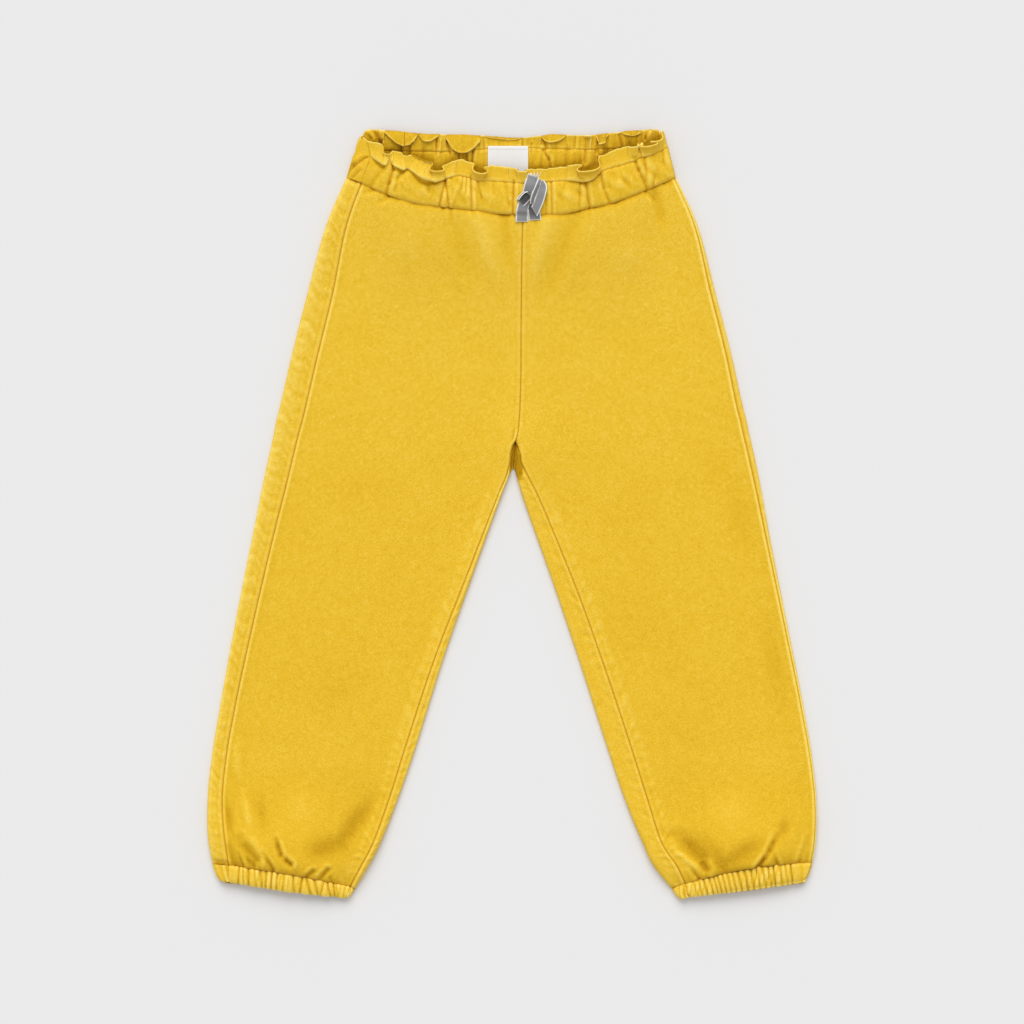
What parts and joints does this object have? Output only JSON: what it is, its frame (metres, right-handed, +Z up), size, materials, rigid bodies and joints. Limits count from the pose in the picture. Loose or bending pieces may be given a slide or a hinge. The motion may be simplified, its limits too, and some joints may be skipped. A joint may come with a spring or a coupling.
{
  "type": "child's pull-on trousers",
  "caption": "Child's woven pull-on trousers laid flat, front up, with a frilled elastic waist, a flat ribbon bow and gathered elastic hems.",
  "frame": {"origin": "on the surface the garment lies on, under the middle of its outline", "axes": "+X to the wearer's left, +Y from the hems to the waist, +Z up out of the front of the garment"},
  "size_m": [0.4561, 0.5765, 0.0172],
  "materials": {
    "cloth": "brushed cotton twill, matt",
    "label": "plain woven tape",
    "ribbon": "fine ribbed ribbon"
  },
  "bodies": {
    "root": {"front_panel_right": "cloth", "front_panel_left": "cloth", "back_panel_right": "cloth", "back_panel_left": "cloth", "waistband_front": "cloth", "waistband_back": "cloth", "hem_front_right": "cloth", "hem_back_right": "cloth", "hem_front_left": "cloth", "hem_back_left": "cloth", "label": "label", "bow_tail_left": "ribbon", "bow_tail_right": "ribbon", "bow_loop": "ribbon", "bow_knot": "ribbon"}
  },
  "joints": []
}
